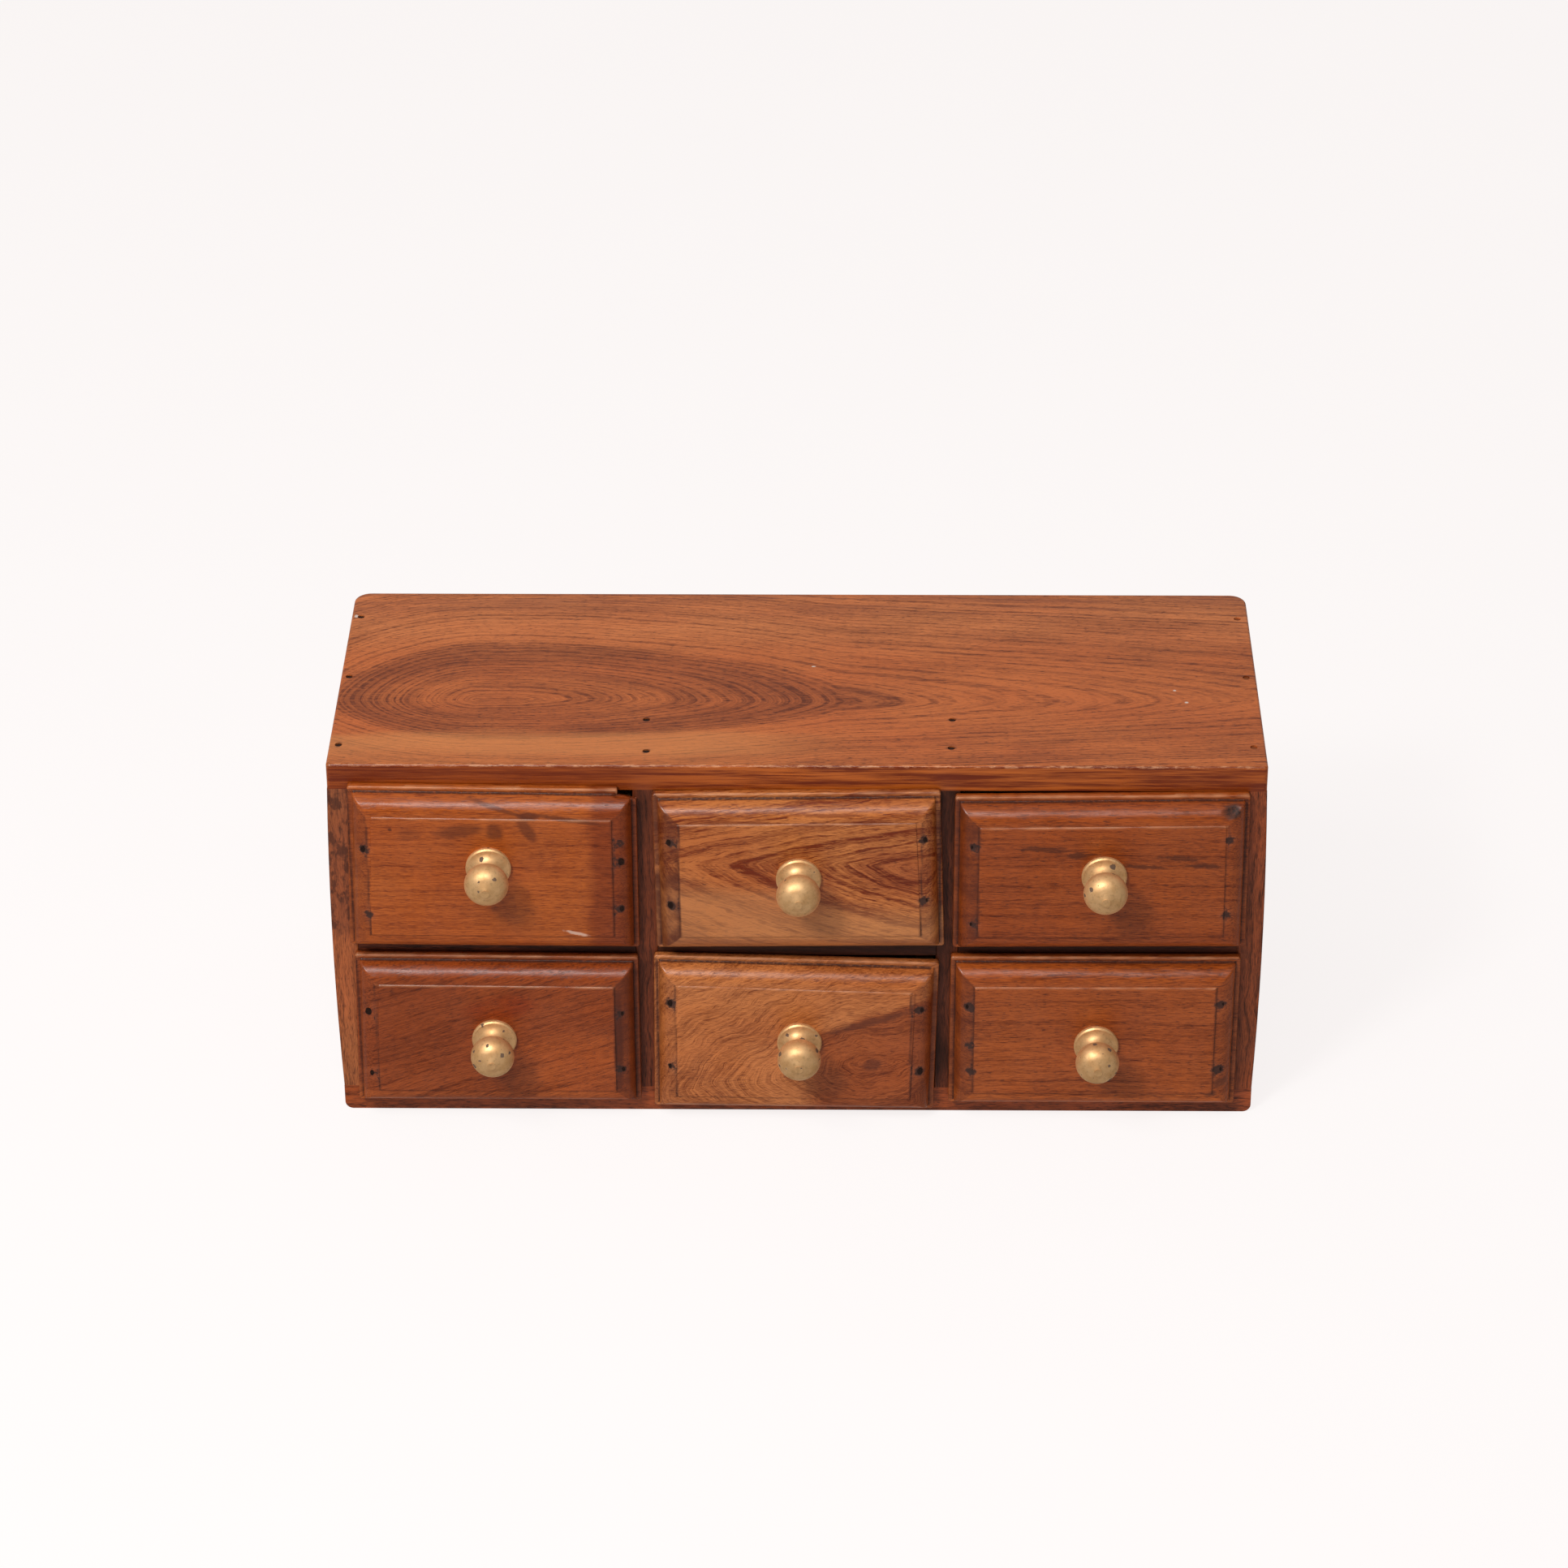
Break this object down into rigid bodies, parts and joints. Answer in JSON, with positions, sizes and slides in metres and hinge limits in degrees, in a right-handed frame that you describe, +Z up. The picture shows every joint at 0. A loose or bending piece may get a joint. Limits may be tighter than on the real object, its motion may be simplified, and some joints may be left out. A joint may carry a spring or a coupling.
{
  "type": "miniature chest of drawers",
  "caption": "Small hardwood tabletop chest with lipped, moulded drawers in two rows and turned brass ball knobs, free-standing on a flat base.",
  "frame": {"origin": "centre of the carcass's flat underside", "axes": "+Z up, +X along the width to the right as seen from the front, -Y towards the drawer fronts"},
  "size_m": [0.3324, 0.1534, 0.146],
  "materials": {
    "top_board_wood": "clear satin lacquer over solid sheesham-like hardwood",
    "carcass_wood": "clear satin lacquer over solid sheesham-like hardwood",
    "divider_wood": "clear satin lacquer over darker hardwood",
    "back_wood": "thin lacquer on the back board",
    "top_left_front_wood": "clear satin lacquer, bright orange-brown board",
    "top_middle_front_wood": "clear satin lacquer, pale flamed board",
    "top_right_front_wood": "clear satin lacquer, orange-brown board",
    "bottom_left_front_wood": "clear satin lacquer, red-brown board",
    "bottom_middle_front_wood": "clear satin lacquer, pale swirling board",
    "bottom_right_front_wood": "clear satin lacquer, red-brown board",
    "drawer_box_wood": "plain sanded hardwood, unlacquered inside the chest",
    "knob_brass": "aged satin brass with dark pits",
    "screw_steel": "dull plated",
    "nail_steel": "darkened by filler and stain"
  },
  "bodies": {
    "carcass": {"top_board": "top_board_wood", "bottom_board": "carcass_wood", "left_side": "carcass_wood", "right_side": "carcass_wood", "left_divider": "divider_wood", "right_divider": "divider_wood", "shelf": "carcass_wood", "back_panel": "back_wood", "carcass_nails": "nail_steel", "back_panel_pins": "nail_steel"},
    "top_left_drawer": {"top_left_drawer_front": "top_left_front_wood", "top_left_drawer_left_side": "drawer_box_wood", "top_left_drawer_right_side": "drawer_box_wood", "top_left_drawer_back": "drawer_box_wood", "top_left_drawer_bottom": "drawer_box_wood", "top_left_drawer_nails": "nail_steel", "top_left_knob": "knob_brass", "top_left_knob_screw": "screw_steel"},
    "top_middle_drawer": {"top_middle_drawer_front": "top_middle_front_wood", "top_middle_drawer_left_side": "drawer_box_wood", "top_middle_drawer_right_side": "drawer_box_wood", "top_middle_drawer_back": "drawer_box_wood", "top_middle_drawer_bottom": "drawer_box_wood", "top_middle_drawer_nails": "nail_steel", "top_middle_knob": "knob_brass", "top_middle_knob_screw": "screw_steel"},
    "top_right_drawer": {"top_right_drawer_front": "top_right_front_wood", "top_right_drawer_left_side": "drawer_box_wood", "top_right_drawer_right_side": "drawer_box_wood", "top_right_drawer_back": "drawer_box_wood", "top_right_drawer_bottom": "drawer_box_wood", "top_right_drawer_nails": "nail_steel", "top_right_knob": "knob_brass", "top_right_knob_screw": "screw_steel"},
    "bottom_left_drawer": {"bottom_left_drawer_front": "bottom_left_front_wood", "bottom_left_drawer_left_side": "drawer_box_wood", "bottom_left_drawer_right_side": "drawer_box_wood", "bottom_left_drawer_back": "drawer_box_wood", "bottom_left_drawer_bottom": "drawer_box_wood", "bottom_left_drawer_nails": "nail_steel", "bottom_left_knob": "knob_brass", "bottom_left_knob_screw": "screw_steel"},
    "bottom_middle_drawer": {"bottom_middle_drawer_front": "bottom_middle_front_wood", "bottom_middle_drawer_left_side": "drawer_box_wood", "bottom_middle_drawer_right_side": "drawer_box_wood", "bottom_middle_drawer_back": "drawer_box_wood", "bottom_middle_drawer_bottom": "drawer_box_wood", "bottom_middle_drawer_nails": "nail_steel", "bottom_middle_knob": "knob_brass", "bottom_middle_knob_screw": "screw_steel"},
    "bottom_right_drawer": {"bottom_right_drawer_front": "bottom_right_front_wood", "bottom_right_drawer_left_side": "drawer_box_wood", "bottom_right_drawer_right_side": "drawer_box_wood", "bottom_right_drawer_back": "drawer_box_wood", "bottom_right_drawer_bottom": "drawer_box_wood", "bottom_right_drawer_nails": "nail_steel", "bottom_right_knob": "knob_brass", "bottom_right_knob_screw": "screw_steel"}
  },
  "joints": [
    {"name": "top_left_slide", "type": "slide", "parent": "carcass", "child": "top_left_drawer", "axis": [0, -1, 0], "range_m": [0, 0.095]},
    {"name": "top_middle_slide", "type": "slide", "parent": "carcass", "child": "top_middle_drawer", "axis": [0, -1, 0], "range_m": [0, 0.095]},
    {"name": "top_right_slide", "type": "slide", "parent": "carcass", "child": "top_right_drawer", "axis": [0, -1, 0], "range_m": [0, 0.095]},
    {"name": "bottom_left_slide", "type": "slide", "parent": "carcass", "child": "bottom_left_drawer", "axis": [0, -1, 0], "range_m": [0, 0.095]},
    {"name": "bottom_middle_slide", "type": "slide", "parent": "carcass", "child": "bottom_middle_drawer", "axis": [0, -1, 0], "range_m": [0, 0.095]},
    {"name": "bottom_right_slide", "type": "slide", "parent": "carcass", "child": "bottom_right_drawer", "axis": [0, -1, 0], "range_m": [0, 0.095]}
  ]
}
